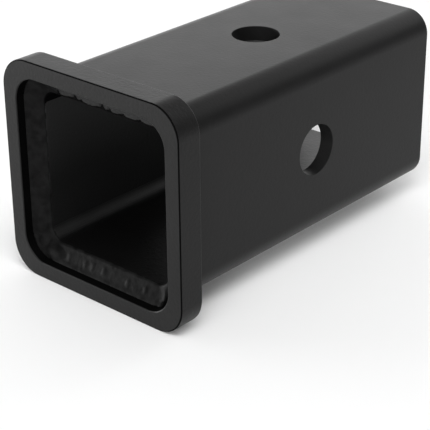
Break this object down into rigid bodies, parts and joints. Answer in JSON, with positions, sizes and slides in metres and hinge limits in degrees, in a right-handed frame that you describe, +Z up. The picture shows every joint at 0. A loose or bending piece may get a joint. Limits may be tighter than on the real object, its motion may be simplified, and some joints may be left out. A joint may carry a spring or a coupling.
{
  "type": "hitch reducer sleeve",
  "caption": "Square steel tube with a welded square collar at its front end and cross holes through its sides, to fit a small square shank in a larger square receiver.",
  "frame": {"origin": "on the ground, under the middle of the sleeve's length and width", "axes": "+Y along the tube's axis, from the collar at the front towards the tube's open rear end; +Z up, normal to the tube's top face; +X to the right seen from the front"},
  "size_m": [0.0762, 0.1372, 0.0762],
  "materials": {
    "powder_coat": "fine-grained black powder coat, satin",
    "coated_weld": "black powder coat over a rippled weld"
  },
  "bodies": {
    "root": {"sleeve_tube": "powder_coat", "collar": "powder_coat", "weld_bead": "coated_weld"}
  },
  "joints": []
}
